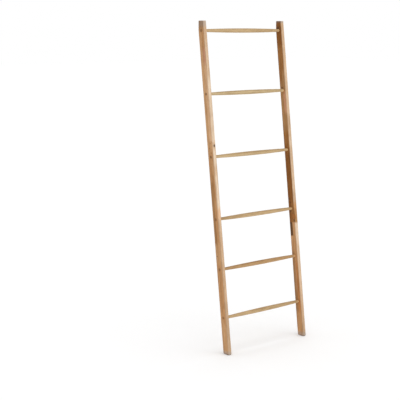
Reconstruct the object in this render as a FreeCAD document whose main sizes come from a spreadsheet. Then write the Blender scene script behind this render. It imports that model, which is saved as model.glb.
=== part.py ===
import FreeCAD, Part
import os

import Sketcher

# A towel ladder that leans on a wall: two rails, turned rungs, screws under wooden plugs and rubber pads.
# X runs across the ladder, +Y points to the wall and Z is up. The origin is on the floor at the foot of the
# wall, midway between the rails.

# Driving dimensions in millimetres, and the lean in degrees: alias, value and what it measures.
DRIVING_SIZES = (
    ("ladder_width", 578, "across the outer faces of the rails"),
    ("lean_angle", 7.25, "lean of the rails from upright"),
    ("rail_width", 21, "rail across the ladder"),
    ("rail_depth", 45, "rail from front to back"),
    ("rail_edge_radius", 2, "eased edges of a rail"),
    ("wall_cut", 50, "upright cut at the top of a rail's back, which lies along the wall"),
    ("top_margin", 53, "top of a rail to the first rung, along the rail"),
    ("upper_pitch", 337, "between the upper rungs, along the rail"),
    ("fourth_pitch", 273, "fourth rung to the fifth, along the rail"),
    ("fifth_pitch", 264, "fifth rung to the sixth, along the rail"),
    ("foot_margin", 199, "sixth rung to the bottom of a rail, along the rail"),
    ("rung_middle_diameter", 23.5, "rung at its thickest"),
    ("rung_end_diameter", 15, "rung where it enters a rail"),
    ("mortise_depth", 8, "blind hole for a rung end"),
    ("glue_gap", 0.1, "around a rung end and a plug"),
    ("end_gap", 0.5, "behind a rung end and a plug"),
    ("plug_diameter", 12, "wooden plug over a screw"),
    ("plug_length", 4, "wooden plug along the screw"),
    ("plug_chamfer", 0.4, "edges of a plug"),
    ("head_diameter", 8, "screw head"),
    ("head_height", 2.5, "screw head along the screw"),
    ("drive_width", 3, "square recess in a screw head"),
    ("drive_depth", 1.5, "square recess along the screw"),
    ("shank_diameter", 4, "screw shank"),
    ("shank_length", 32, "screw under its head"),
    ("tip_length", 5, "pointed end of a screw"),
    ("screw_gap", 0.1, "around a screw"),
    ("foot_pad_inset", 3, "edge of a rail to its foot pad"),
    ("foot_pad_thickness", 2, "rubber pad under a rail"),
    ("foot_pad_edge_radius", 0.6, "eased edges of a foot pad"),
    ("wall_pad_inset", 3, "edge of a rail's wall cut to its pad"),
    ("wall_pad_thickness", 2, "rubber pad between a rail and the wall"),
    ("wall_pad_edge_radius", 0.6, "eased edges of a wall pad"),
)

# The gaps between neighbouring rungs, from the bottom up.
RUNG_PITCHES = ("fifth_pitch", "fourth_pitch", "upper_pitch", "upper_pitch", "upper_pitch")

# Sizes that follow from the driving ones. A rail is as long as its rungs need.
RUNG_RUN = " + ".join(f"Sizes.{pitch}" for pitch in RUNG_PITCHES)
RAIL_LENGTH = f"(Sizes.foot_margin + {RUNG_RUN} + Sizes.top_margin)"
LEAN_SINE = "sin(Sizes.lean_angle)"
LEAN_COSINE = "cos(Sizes.lean_angle)"
LEAN_TANGENT = "tan(Sizes.lean_angle)"
RAIL_RISE = f"Sizes.rail_depth * {LEAN_TANGENT}"
RAIL_HEIGHT = f"{RAIL_LENGTH} * {LEAN_COSINE}"
RAIL_CENTRE = "(Sizes.ladder_width - Sizes.rail_width) / 2"
INNER_SPAN = "(Sizes.ladder_width - 2 * Sizes.rail_width)"
RUNG_LENGTH = f"({INNER_SPAN} + 2 * Sizes.mortise_depth - 2 * Sizes.end_gap)"
RUNG_SWELL = "(Sizes.rung_middle_diameter - Sizes.rung_end_diameter) / 2"
SWELL_RADIUS = f"(({INNER_SPAN} / 2) ^ 2 + ({RUNG_SWELL}) ^ 2) / (2 * ({RUNG_SWELL}))"
MORTISE_DIAMETER = "Sizes.rung_end_diameter + 2 * Sizes.glue_gap"
PLUG_HOLE_DIAMETER = "Sizes.plug_diameter + 2 * Sizes.glue_gap"
PLUG_HOLE_DEPTH = "Sizes.plug_length + Sizes.end_gap + Sizes.head_height"
SCREW_HOLE_RADIUS = "(Sizes.shank_diameter / 2 + Sizes.screw_gap)"
SCREW_REACH = f"({PLUG_HOLE_DEPTH} + Sizes.shank_length)"
PILOT_DEPTH = f"{SCREW_REACH} + Sizes.screw_gap - (Sizes.rail_width - Sizes.mortise_depth + Sizes.end_gap)"
SCREW_TOP = "(Sizes.ladder_width / 2 - Sizes.plug_length - Sizes.end_gap)"

# How far the middle of a foot stands from the wall that the pads behind the rails touch.
FOOT_TO_WALL = (
    f"(({RAIL_HEIGHT} - Sizes.wall_cut) * {LEAN_TANGENT}"
    f" + Sizes.rail_depth / (2 * {LEAN_COSINE}) + Sizes.wall_pad_thickness)"
)

# Which way the outer face of each rail looks along X.
SIDES = {"left": -1, "right": 1}

# How a sketch numbers its own axes, its origin and the points of a line or an arc.
ACROSS_AXIS, UPRIGHT_AXIS = range(-1, -3, -1)
START, END, CENTRE = range(1, 4)
ORIGIN_POINT = (ACROSS_AXIS, START)


def make_sheet(doc):
    """Write the driving dimensions into a sheet, one row each."""
    sheet = doc.addObject("Spreadsheet::Sheet", "Sizes")
    for row, (alias, value, meaning) in enumerate(DRIVING_SIZES, start=1):
        sheet.set(f"A{row}", meaning)
        sheet.set(f"B{row}", str(value))
        sheet.setAlias(f"B{row}", alias)
    doc.recompute()
    return sheet


def rung_heights():
    """Heights of the rungs along a rail, from the top down, as expressions."""
    heights = ["Sizes.foot_margin"]
    for pitch in RUNG_PITCHES:
        heights.append(f"{heights[-1]} + Sizes.{pitch}")
    return heights[::-1]


def start_sketch(body, name, plane_role):
    """Start a sketch on one of the body's own origin planes."""
    sketch = body.newObject("Sketcher::SketchObject", name)
    plane = next(f for f in body.Origin.OriginFeatures if f.Role == plane_role)
    sketch.AttachmentSupport = [(plane, "")]
    sketch.MapMode = "FlatFace"
    return sketch


def bind(sketch, name, expression, *constraint):
    """Add a dimension to a sketch at its present value and tie it to the sheet."""
    start = sketch.evalExpression(expression)
    index = sketch.addConstraint(Sketcher.Constraint(*constraint, start))
    sketch.renameConstraint(index, name)
    sketch.setExpression(f"Constraints.{name}", expression)


def join(sketch, kind, *places):
    """Add a constraint that has no size."""
    sketch.addConstraint(Sketcher.Constraint(kind, *places))


def draw_outline(sketch, points):
    """Draw a closed outline of straight lines, upright and level where the points say so."""
    corners = [FreeCAD.Vector(across, up, 0) for across, up in points]
    lines = []
    for here, there in zip(corners, corners[1:] + corners[:1]):
        line = sketch.addGeometry(Part.LineSegment(here, there))
        if here.x == there.x:
            join(sketch, "Vertical", line)
        elif here.y == there.y:
            join(sketch, "Horizontal", line)
        lines.append(line)
    for line, following in zip(lines, lines[1:] + lines[:1]):
        join(sketch, "Coincident", line, END, following, START)
    return lines


def add_feature(body, kind, name, sketch, **lengths):
    """Add a feature that reads a sketch, with its sizes tied to the sheet."""
    feature = body.newObject(kind, name)
    feature.Profile = sketch
    for size, expression in lengths.items():
        feature.setExpression(size, expression)
    sketch.Visibility = False
    return feature


def place(piece, across, along, behind):
    """Place a piece by how far it lies along a rail and behind the rail's middle line."""
    piece.setExpression("Placement.Base.x", across)
    piece.setExpression(
        "Placement.Base.y",
        f"({along}) * {LEAN_SINE} + ({behind}) * {LEAN_COSINE} - {FOOT_TO_WALL}",
    )
    piece.setExpression(
        "Placement.Base.z",
        f"Sizes.foot_pad_thickness + ({along}) * {LEAN_COSINE} - ({behind}) * {LEAN_SINE}",
    )


def lean(piece, sheet):
    """Tilt a piece back with the rails."""
    tilt = FreeCAD.Rotation(FreeCAD.Vector(1, 0, 0), -sheet.lean_angle)
    piece.Placement = FreeCAD.Placement(FreeCAD.Vector(), tilt)
    piece.setExpression("Placement.Rotation.Angle", "-Sizes.lean_angle")


def cut_row(body, name, outward, diameter, depth):
    """Bore one round hole at every rung, into the face of a rail that looks along outward."""
    sketch = start_sketch(body, f"{name}_places", "YZ_Plane")
    sketch.setExpression("AttachmentOffset.Base.z", f"{outward} * Sizes.rail_width / 2")
    first = None
    for number, height in enumerate(rung_heights(), start=1):
        middle = FreeCAD.Vector(0, sketch.evalExpression(height), 0)
        radius = sketch.evalExpression(f"({diameter}) / 2")
        circle = sketch.addGeometry(Part.Circle(middle, FreeCAD.Vector(0, 0, 1), radius))
        join(sketch, "PointOnObject", circle, CENTRE, UPRIGHT_AXIS)
        bind(sketch, f"height_{number}", height, "DistanceY", *ORIGIN_POINT, circle, CENTRE)
        if first is None:
            first = circle
            bind(sketch, "bore", diameter, "Diameter", circle)
        else:
            join(sketch, "Equal", first, circle)
    pocket = add_feature(body, "PartDesign::Pocket", name, sketch, Length=depth)
    pocket.Reversed = outward < 0
    return pocket


def make_rail(doc, sheet, side):
    """One upright, cut level at both ends and upright along the wall, with all its holes."""
    outward = SIDES[side]
    body = doc.addObject("PartDesign::Body", f"{side}_rail")
    sketch = start_sketch(body, f"{side}_rail_side", "YZ_Plane")
    half_depth = sheet.rail_depth / 2
    half_rise = sketch.evalExpression(f"{RAIL_RISE} / 2")
    length = sketch.evalExpression(RAIL_LENGTH)
    back_top = length + half_rise
    cut_rise = sketch.evalExpression(f"Sizes.wall_cut / {LEAN_COSINE}")
    cut_run = sketch.evalExpression(f"Sizes.wall_cut * {LEAN_SINE}")
    cut_drop = sketch.evalExpression(f"Sizes.wall_cut * {LEAN_SINE} * {LEAN_TANGENT}")
    outline = [
        (-half_depth, -half_rise),
        (half_depth, half_rise),
        (half_depth, back_top - cut_rise),
        (half_depth - cut_run, back_top - cut_drop),
        (-half_depth, length - half_rise),
    ]
    bottom, _, wall_cut, top, front = draw_outline(sketch, outline)
    join(sketch, "Symmetric", bottom, START, bottom, END, *ORIGIN_POINT)
    join(sketch, "Parallel", bottom, top)
    join(sketch, "Perpendicular", wall_cut, top)
    bind(sketch, "depth", "Sizes.rail_depth", "DistanceX", bottom, START, bottom, END)
    bind(sketch, "rise", RAIL_RISE, "DistanceY", bottom, START, bottom, END)
    bind(sketch, "length", RAIL_LENGTH, "DistanceY", front, END, front, START)
    bind(sketch, "wall_cut", "Sizes.wall_cut", "Distance", wall_cut)
    blank = add_feature(body, "PartDesign::Pad", f"{side}_rail_blank", sketch, Length="Sizes.rail_width")
    blank.SideType = "Symmetric"
    doc.recompute()
    eased = body.newObject("PartDesign::Fillet", f"{side}_rail_edges")
    eased.Base = (blank, ["Edge1"])
    eased.UseAllEdges = True
    eased.setExpression("Radius", "Sizes.rail_edge_radius")
    cut_row(body, f"{side}_mortises", -outward, MORTISE_DIAMETER, "Sizes.mortise_depth")
    cut_row(body, f"{side}_plug_holes", outward, PLUG_HOLE_DIAMETER, PLUG_HOLE_DEPTH)
    cut_row(body, f"{side}_screw_holes", outward, f"2 * {SCREW_HOLE_RADIUS}", "Sizes.rail_width")
    lean(body, sheet)
    place(body, f"{outward} * {RAIL_CENTRE}", "0", "0")
    return body


def make_rung(doc, sheet, number, height):
    """One turned rung, swelling to its middle, with a pilot hole for a screw in each end."""
    body = doc.addObject("PartDesign::Body", f"rung_{number}")
    sketch = start_sketch(body, f"rung_{number}_half", "XY_Plane")
    half_length = sketch.evalExpression(f"{RUNG_LENGTH} / 2")
    half_span = sketch.evalExpression(f"{INNER_SPAN} / 2")
    end_radius = sheet.rung_end_diameter / 2
    pilot_radius = sketch.evalExpression(SCREW_HOLE_RADIUS)
    pilot_end = half_length - sketch.evalExpression(PILOT_DEPTH)
    outline = [
        (half_span, end_radius),
        (half_length, end_radius),
        (half_length, pilot_radius),
        (pilot_end, pilot_radius),
        (pilot_end, 0),
        (-pilot_end, 0),
        (-pilot_end, pilot_radius),
        (-half_length, pilot_radius),
        (-half_length, end_radius),
        (-half_span, end_radius),
    ]
    corners = [FreeCAD.Vector(across, up, 0) for across, up in outline]
    lines = [sketch.addGeometry(Part.LineSegment(*pair)) for pair in zip(corners, corners[1:])]
    crown = FreeCAD.Vector(0, sheet.rung_middle_diameter / 2, 0)
    swell = sketch.addGeometry(Part.Arc(corners[0], crown, corners[-1]))
    right_seat, right_end, right_pilot, right_floor = lines[:4]
    axis = lines[4]
    left_floor, left_pilot, left_end, left_seat = lines[5:]
    for line, following in zip(lines, lines[1:]):
        join(sketch, "Coincident", line, END, following, START)
    join(sketch, "Coincident", swell, START, right_seat, START)
    join(sketch, "Coincident", swell, END, left_seat, END)
    for level in (right_seat, right_pilot, left_pilot, left_seat):
        join(sketch, "Horizontal", level)
    for upright in (right_end, right_floor, left_floor, left_end):
        join(sketch, "Vertical", upright)
    join(sketch, "PointOnObject", axis, START, ACROSS_AXIS)
    join(sketch, "Symmetric", axis, START, axis, END, UPRIGHT_AXIS)
    join(sketch, "Symmetric", right_pilot, START, left_pilot, END, UPRIGHT_AXIS)
    join(sketch, "Symmetric", swell, START, swell, END, UPRIGHT_AXIS)
    bind(sketch, "length", RUNG_LENGTH, "DistanceX", left_pilot, END, right_pilot, START)
    bind(sketch, "span", INNER_SPAN, "DistanceX", swell, END, swell, START)
    bind(sketch, "pilot_depth", PILOT_DEPTH, "DistanceX", right_pilot, END, right_pilot, START)
    bind(sketch, "pilot_radius", SCREW_HOLE_RADIUS, "DistanceY", *ORIGIN_POINT, right_pilot, START)
    bind(sketch, "end_radius", "Sizes.rung_end_diameter / 2", "DistanceY", *ORIGIN_POINT, swell, START)
    bind(sketch, "swell_radius", SWELL_RADIUS, "Radius", swell)
    turned = add_feature(body, "PartDesign::Revolution", f"rung_{number}_turned", sketch)
    turned.ReferenceAxis = (sketch, ["H_Axis"])
    place(body, "0", height, "0")
    return body


def make_plug(doc, side, number, height):
    """One wooden plug, level with the outer face of its rail."""
    name = f"{side}_plug_{number}"
    body = doc.addObject("PartDesign::Body", name)
    sketch = start_sketch(body, f"{name}_round", "YZ_Plane")
    radius = sketch.evalExpression("Sizes.plug_diameter / 2")
    circle = sketch.addGeometry(Part.Circle(FreeCAD.Vector(), FreeCAD.Vector(0, 0, 1), radius))
    join(sketch, "Coincident", circle, CENTRE, *ORIGIN_POINT)
    bind(sketch, "width", "Sizes.plug_diameter", "Diameter", circle)
    peg = add_feature(body, "PartDesign::Pad", f"{name}_peg", sketch, Length="Sizes.plug_length")
    peg.SideType = "Symmetric"
    doc.recompute()
    eased = body.newObject("PartDesign::Chamfer", f"{name}_edges")
    eased.Base = (peg, ["Edge1"])
    eased.UseAllEdges = True
    eased.setExpression("Size", "Sizes.plug_chamfer")
    place(body, f"{SIDES[side]} * (Sizes.ladder_width - Sizes.plug_length) / 2", height, "0")
    return body


def make_screw(doc, sheet):
    """The pattern for all screws: it points along +X, with the top of its head at zero."""
    body = doc.addObject("PartDesign::Body", "screw_pattern")
    sketch = start_sketch(body, "screw_half", "XY_Plane")
    head_radius = sheet.head_diameter / 2
    shank_radius = sheet.shank_diameter / 2
    point = sheet.head_height + sheet.shank_length
    outline = [
        (0, 0),
        (0, head_radius),
        (sheet.head_height, head_radius),
        (sheet.head_height, shank_radius),
        (point - sheet.tip_length, shank_radius),
        (point, 0),
    ]
    top, side, _, shank, tip, _ = draw_outline(sketch, outline)
    join(sketch, "Coincident", top, START, *ORIGIN_POINT)
    bind(sketch, "head_radius", "Sizes.head_diameter / 2", "DistanceY", top, START, top, END)
    bind(sketch, "head_height", "Sizes.head_height", "DistanceX", side, START, side, END)
    bind(sketch, "shank_radius", "Sizes.shank_diameter / 2", "DistanceY", *ORIGIN_POINT, shank, START)
    bind(sketch, "shank_length", "Sizes.shank_length", "DistanceX", shank, START, tip, END)
    bind(sketch, "tip_length", "Sizes.tip_length", "DistanceX", tip, START, tip, END)
    turned = add_feature(body, "PartDesign::Revolution", "screw_turned", sketch)
    turned.ReferenceAxis = (sketch, ["H_Axis"])
    square = start_sketch(body, "screw_drive_square", "YZ_Plane")
    reach = sheet.drive_width / 2
    base, right, lid, _ = draw_outline(
        square, [(-reach, -reach), (reach, -reach), (reach, reach), (-reach, reach)]
    )
    join(square, "Symmetric", base, START, lid, START, *ORIGIN_POINT)
    join(square, "Equal", base, right)
    bind(square, "width", "Sizes.drive_width", "DistanceX", base, START, base, END)
    drive = add_feature(body, "PartDesign::Pocket", "screw_drive", square, Length="Sizes.drive_depth")
    drive.Reversed = True
    return body


def make_screws(doc, pattern, side):
    """The screws of one rail, each a separate solid in one group."""
    outward = SIDES[side]
    inward = FreeCAD.Rotation(FreeCAD.Vector(1, 0, 0), FreeCAD.Vector(-outward, 0, 0))
    screws = []
    for number, height in enumerate(rung_heights(), start=1):
        screw = doc.addObject("App::Link", f"{side}_screw_{number}")
        screw.LinkedObject = pattern
        screw.Placement = FreeCAD.Placement(FreeCAD.Vector(), inward)
        screws.append(screw)
        place(screw, f"{outward} * {SCREW_TOP}", height, "0")
    group = doc.addObject("Part::Compound", f"{side}_screws")
    group.Links = screws
    return group


def make_pad(doc, name, plane_role, width, length, thickness, edge_radius):
    """One flat rubber pad, drawn round the middle of the face that lies against its rail."""
    body = doc.addObject("PartDesign::Body", name)
    sketch = start_sketch(body, f"{name}_outline", plane_role)
    reach = sketch.evalExpression(f"({width}) / 2")
    end = sketch.evalExpression(f"({length}) / 2")
    base, right, lid, _ = draw_outline(
        sketch, [(-reach, -end), (reach, -end), (reach, end), (-reach, end)]
    )
    join(sketch, "Symmetric", base, START, lid, START, *ORIGIN_POINT)
    bind(sketch, "width", width, "DistanceX", base, START, base, END)
    bind(sketch, "length", length, "DistanceY", right, START, right, END)
    slab = add_feature(body, "PartDesign::Pad", f"{name}_slab", sketch, Length=thickness)
    slab.Reversed = True
    doc.recompute()
    eased = body.newObject("PartDesign::Fillet", f"{name}_edges")
    eased.Base = (slab, ["Edge1"])
    eased.UseAllEdges = True
    eased.setExpression("Radius", edge_radius)
    return body


def make_foot_pad(doc, side):
    """The rubber pad under a rail."""
    width = "Sizes.rail_width - 2 * Sizes.foot_pad_inset"
    length = f"Sizes.rail_depth / {LEAN_COSINE} - 2 * Sizes.foot_pad_inset"
    thickness = "Sizes.foot_pad_thickness"
    edge_radius = "Sizes.foot_pad_edge_radius"
    body = make_pad(doc, f"{side}_foot_pad", "XY_Plane", width, length, thickness, edge_radius)
    place(body, f"{SIDES[side]} * {RAIL_CENTRE}", "0", "0")
    return body


def make_wall_pad(doc, side):
    """The rubber pad between a rail's wall cut and the wall."""
    width = "Sizes.rail_width - 2 * Sizes.wall_pad_inset"
    length = "Sizes.wall_cut - 2 * Sizes.wall_pad_inset"
    thickness = "Sizes.wall_pad_thickness"
    edge_radius = "Sizes.wall_pad_edge_radius"
    body = make_pad(doc, f"{side}_wall_pad", "XZ_Plane", width, length, thickness, edge_radius)
    body.setExpression("Placement.Base.x", f"{SIDES[side]} * {RAIL_CENTRE}")
    body.setExpression("Placement.Base.y", "-Sizes.wall_pad_thickness")
    body.setExpression("Placement.Base.z", f"Sizes.foot_pad_thickness + {RAIL_HEIGHT} - Sizes.wall_cut / 2")
    return body


def check(doc, pieces):
    """Stop if anything failed to build or a cut missed its piece."""
    failed = [item.Name for item in doc.Objects if {"Invalid", "Error"} & set(item.State)]
    if failed:
        raise RuntimeError(f"these failed to build: {failed}")
    for item in doc.Objects:
        if item.TypeId == "PartDesign::Pocket" and item.Shape.Volume >= item.BaseFeature.Shape.Volume:
            raise RuntimeError(f"{item.Name} cuts nothing")
    for piece in pieces:
        if piece.Shape.isNull() or not piece.Shape.isValid():
            raise RuntimeError(f"{piece.Label} has no sound shape")


def main():
    doc = FreeCAD.newDocument("towel_ladder")
    sheet = make_sheet(doc)
    pattern = make_screw(doc, sheet)
    pieces = []
    for number, height in enumerate(rung_heights(), start=1):
        pieces.append(make_rung(doc, sheet, number, height))
    for side in SIDES:
        pieces.append(make_rail(doc, sheet, side))
        for number, height in enumerate(rung_heights(), start=1):
            pieces.append(make_plug(doc, side, number, height))
        pieces.append(make_screws(doc, pattern, side))
        pieces.append(make_foot_pad(doc, side))
        pieces.append(make_wall_pad(doc, side))
    doc.recompute()
    check(doc, pieces)
    os.makedirs("parts", exist_ok=True)
    for piece in pieces:
        piece.Shape.exportStep(f"parts/{piece.Label}.step")
        print(piece.Label, len(piece.Shape.Solids), round(piece.Shape.Volume), piece.Shape.BoundBox)


main()
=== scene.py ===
import math
from functools import partial

import bmesh
import bpy
from bpy.props import FloatProperty, FloatVectorProperty, PointerProperty
from mathutils import Matrix, Vector, noise


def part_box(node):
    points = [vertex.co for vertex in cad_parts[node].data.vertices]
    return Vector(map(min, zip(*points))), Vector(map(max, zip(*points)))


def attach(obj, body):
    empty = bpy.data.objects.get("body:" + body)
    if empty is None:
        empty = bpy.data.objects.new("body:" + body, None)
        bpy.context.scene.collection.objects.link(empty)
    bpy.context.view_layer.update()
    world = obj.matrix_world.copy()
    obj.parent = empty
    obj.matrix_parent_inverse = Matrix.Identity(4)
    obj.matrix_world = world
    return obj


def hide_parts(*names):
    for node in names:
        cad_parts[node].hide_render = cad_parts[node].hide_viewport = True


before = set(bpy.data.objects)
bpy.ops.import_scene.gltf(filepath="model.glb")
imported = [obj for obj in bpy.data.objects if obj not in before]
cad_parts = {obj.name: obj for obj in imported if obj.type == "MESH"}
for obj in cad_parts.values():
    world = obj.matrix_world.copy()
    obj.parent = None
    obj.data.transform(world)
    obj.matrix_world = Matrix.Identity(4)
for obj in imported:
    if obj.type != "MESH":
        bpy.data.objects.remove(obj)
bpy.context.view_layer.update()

bl_info = {
    "name": "Towel Ladder Finish",
    "version": (1, 0, 0),
    "blender": (4, 5, 0),
    "location": "3D View > Sidebar > Towel Ladder",
    "description": "Finishes a leaning towel ladder: rails, turned rungs, plugs, screws and rubber pads",
    "category": "Object",
}

# The solids' body, to which the finished pieces are attached.
BODY = "root"

SIDES = {"left": -1, "right": 1}
RUNGS = range(1, 7)


def extent(node):
    """Width, depth and height of a solid."""
    low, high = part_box(node)
    return high - low


def middle(node):
    """Middle of a solid's box."""
    low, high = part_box(node)
    return (low + high) / 2


# Places that the solids give: how the ladder leans and where its rails and rungs are.
TOP_RUNG = middle("rung_1")
LOW_RUNG = middle("rung_6")
LEAN = math.atan2(TOP_RUNG.y - LOW_RUNG.y, TOP_RUNG.z - LOW_RUNG.z)
RAIL_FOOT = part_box("left_rail")[0].z
RAIL_LENGTH = extent("left_rail").z / math.cos(LEAN)
FOOT_BACK = LOW_RUNG.y - (LOW_RUNG.z - RAIL_FOOT) * math.tan(LEAN)
WALL_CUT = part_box("left_wall_pad")[0].y - FOOT_BACK


def rung_reach(number):
    """How far a rung is from the foot of a rail, along the rail."""
    return (middle(f"rung_{number}").z - RAIL_FOOT) / math.cos(LEAN)


# Tones of the rails from the foot up, in three strips: the sapwood along the front face, the front half
# and the back half. Each tone reaches up to a place along the rail, in metres.
STRETCHES = {
    "left": {
        "sapwood": {
            0.30: "dun", 0.64: "tan", 0.74: "cream", 0.80: "amber", 0.97: "bleached", 1.03: "cream",
            1.11: "bleached", 1.16: "cream", 1.50: "bleached", 1.70: "cream", 1.80: "tan",
        },
        "front": {
            0.17: "honey", 0.50: "brown", 0.61: "honey", 0.94: "brown", 1.05: "honey", 1.095: "brown",
            1.16: "honey", 1.574: "light", 1.65: "blush", 1.755: "brown", 1.80: "walnut",
        },
        "back": {
            0.20: "honey", 0.50: "brown", 0.60: "honey", 0.94: "walnut", 1.10: "brown", 1.755: "honey",
            1.80: "walnut",
        },
    },
    "right": {
        "sapwood": {
            0.10: "dun", 0.20: "tan", 0.54: "cream", 0.66: "bleached", 0.735: "walnut", 0.775: "brown",
            0.84: "dun", 1.09: "cream", 1.14: "bleached", 1.20: "cream", 1.27: "dun", 1.56: "cream",
            1.80: "tan",
        },
        "front": {
            0.14: "brown", 0.43: "russet", 0.66: "brown", 0.775: "umber", 1.06: "dark", 1.175: "umber",
            1.287: "walnut", 1.40: "rose", 1.52: "walnut", 1.66: "umber", 1.80: "dark",
        },
        "back": {
            0.14: "brown", 0.49: "walnut", 0.577: "brown", 0.66: "sepia", 1.10: "dark", 1.18: "umber",
            1.46: "walnut", 1.66: "umber", 1.80: "dark",
        },
    },
}

# Where staves are glued end to end. Elsewhere each tone turns slowly into the next.
JOINTS = {"left": (1.16,), "right": (0.577, 0.660)}

# Streaks along the grain: from front to back, half their width, from where to where along a rail,
# tone and share.
STREAKS = {
    "left": (
        (-0.006, 0.0040, 0.84, 0.99, "umber", 0.6),
        (0.020, 0.0045, 0.02, 1.13, "umber", 0.5),
        (0.002, 0.0030, 0.20, 0.62, "umber", 0.4),
        (-0.017, 0.0030, 0.24, 0.42, "russet", 0.5),
        (-0.012, 0.0040, 0.60, 0.80, "russet", 0.4),
    ),
    "right": (
        # This streak, ending just under the third rung, is painted shade of that rung.
        (-0.0145, 0.0055, 0.98, 1.075, "sepia", 0.7),
        (0.020, 0.0045, 0.03, 0.56, "dark", 0.8),
        (0.020, 0.0040, 0.70, 1.74, "dark", 0.6),
        (0.000, 0.0055, 0.24, 0.44, "rose", 0.6),
        (-0.012, 0.0035, 0.25, 0.41, "umber", 0.4),
        (-0.012, 0.0040, 1.10, 1.22, "dark", 0.5),
        # This wide streak round the top rung's joint is painted shade of that rung.
        (-0.002, 0.0200, 1.72, 1.79, "sepia", 0.4),
    ),
}

# Knots and spots of painted shade: across, from front to back and along a rail, how far each reaches and
# its tone.
KNOTS = {
    "left": (
        (0.001, -0.0215, 1.133, 0.0055, "knot"),
        (-0.010, -0.004, 1.146, 0.0026, "umber"),
        (-0.010, 0.007, 1.120, 0.0024, "umber"),
        (-0.010, -0.006, 1.095, 0.0030, "umber"),
        (-0.010, 0.012, 0.535, 0.0030, "knot"),
    ),
    "right": (
        (-0.0105, -0.0130, 0.690, 0.0135, "rust"),
        (-0.0105, -0.0165, 0.6675, 0.0050, "sepia"),
        # The next five spots, beside rung ends on the inner face, are painted shade of the rungs.
        (-0.010, 0.008, 0.719, 0.0045, "sepia"),
        (-0.010, 0.011, 0.790, 0.0038, "knot"),
        (-0.010, 0.004, 0.770, 0.0026, "knot"),
        (-0.010, 0.005, 1.759, 0.0070, "knot"),
        (-0.010, 0.005, 1.424, 0.0042, "knot"),
    ),
}

# How far the grey of the weathered ends reaches up from a rail's foot and down from its top.
WEATHERED = {"left": (0.026, 0.050), "right": (0.032, 0.016)}

# How dark the board of each rung is, from the top rung down.
BOARDS = (0.39, 0.0, 0.36, 0.48, 0.90, 0.48)

# Noise patterns: waves to the metre along three axes, of which the third runs along the fibres of a wood,
# and how many finer waves lie on them.
PATTERNS = {
    "wander": ((13.0, 13.0, 2.1), 2.0),
    "fibre": ((820.0, 820.0, 9.0), 3.0),
    "pore": ((1900.0, 1900.0, 42.0), 1.0),
    "band": ((150.0, 150.0, 2.6), 2.0),
    "patch": ((20.0, 20.0, 4.5), 2.0),
    "ripple": ((70.0, 70.0, 27.0), 2.0),
    "strip": ((60.0, 60.0, 6.0), 2.0),
    "streak": ((30.0, 30.0, 14.0), 3.0),
    "knot": ((110.0, 110.0, 60.0), 3.0),
    "rim": ((330.0, 330.0, 220.0), 2.0),
    "pebble": ((2600.0, 2600.0, 2600.0), 1.0),
    "bloom": ((180.0, 180.0, 180.0), 3.0),
    "cloud": ((900.0, 900.0, 900.0), 3.0),
    "scratch": ((400.0, 6000.0, 6000.0), 1.0),
}

# How much each broad pattern adds to the shade of a wood.
BROAD_SHARES = {"band": 0.38, "patch": 0.18, "ripple": 0.20}

# What a wood's colour is multiplied by.
TINTS = {
    "pale figure": (1.27, 1.31, 1.36),
    "dark figure": (0.73, 0.66, 0.58),
    "pore": (0.42, 0.34, 0.27),
    "painted joint shade": (0.50, 0.40, 0.32),
    "dark edge": (0.66, 0.60, 0.55),
    "painted top shade": (0.80, 0.77, 0.74),
    "painted end light": (1.45, 1.38, 1.30),
}

WOOD_GLOSS = 0.12

# Turns what lies along Z into what lies along X.
ACROSS = (0.0, math.radians(90), 0.0)

# Kinds of properties, with what those of a kind have in common.
Length = partial(FloatProperty, unit="LENGTH", subtype="DISTANCE")
Angle = partial(FloatProperty, unit="ROTATION", subtype="ANGLE")
Turn = partial(FloatVectorProperty, unit="ROTATION", subtype="EULER")
Tone = partial(FloatVectorProperty, subtype="COLOR", min=0, max=1)


class LadderSizes(bpy.types.PropertyGroup):
    """Sizes of the finished pieces. Places come from the solids."""

    rail_width: Length(
        name="Rail Width", description="Rail across the ladder", default=extent("left_rail").x
    )
    rail_depth: Length(name="Rail Depth", description="Rail from front to back", default=0.045)
    edge_radius: Length(name="Edge Radius", description="Rounding of a rail's long edges", default=0.0020)
    end_radius: Length(name="End Radius", description="Rounding at the ends of a rail", default=0.0030)
    sanding_dip: Length(
        name="Sanding Dip", description="How far hand sanding has hollowed a face", default=0.00012
    )
    rung_end: Length(name="Rung End", description="Rung where it enters a rail", default=0.015)
    rung_middle: Length(name="Rung Middle", description="Rung at its thickest", default=extent("rung_1").z)
    rung_length: Length(name="Rung Length", description="Rung from end to end", default=extent("rung_1").x)
    mortise_depth: Length(name="Mortise Depth", description="Blind hole for a rung end", default=0.008)
    glue_gap: Length(
        name="Glue Gap", description="Gap around a rung end, a plug and a screw", default=0.0001
    )
    hole_chamfer: Length(name="Hole Chamfer", description="Eased mouth of a bored hole", default=0.0003)
    plug_width: Length(name="Plug Width", description="Wooden plug across", default=extent("left_plug_1").z)
    plug_length: Length(
        name="Plug Length", description="Wooden plug along the screw", default=extent("left_plug_1").x
    )
    plug_crown: Length(
        name="Plug Crown", description="How far the rim of a plug lies below its middle", default=0.00035
    )
    head_width: Length(name="Screw Head", description="Screw head across", default=0.008)
    head_height: Length(name="Head Height", description="Screw head along the screw", default=0.0025)
    drive_width: Length(name="Drive Width", description="Square recess in a screw head", default=0.003)
    drive_depth: Length(name="Drive Depth", description="Depth of the square recess", default=0.0015)
    thread_width: Length(name="Thread Width", description="Screw across its thread", default=0.004)
    core_width: Length(name="Core Width", description="Screw across the root of its thread", default=0.0028)
    thread_pitch: Length(name="Thread Pitch", description="Screw thread from turn to turn", default=0.0018)
    tip_length: Length(name="Tip Length", description="Pointed end of a screw", default=0.005)
    groove_depth: Length(name="Groove Depth", description="Grooves across a rubber pad", default=0.0010)
    pad_edge: Length(name="Pad Edge", description="Rounding of a rubber pad's edges", default=0.0005)


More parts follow.
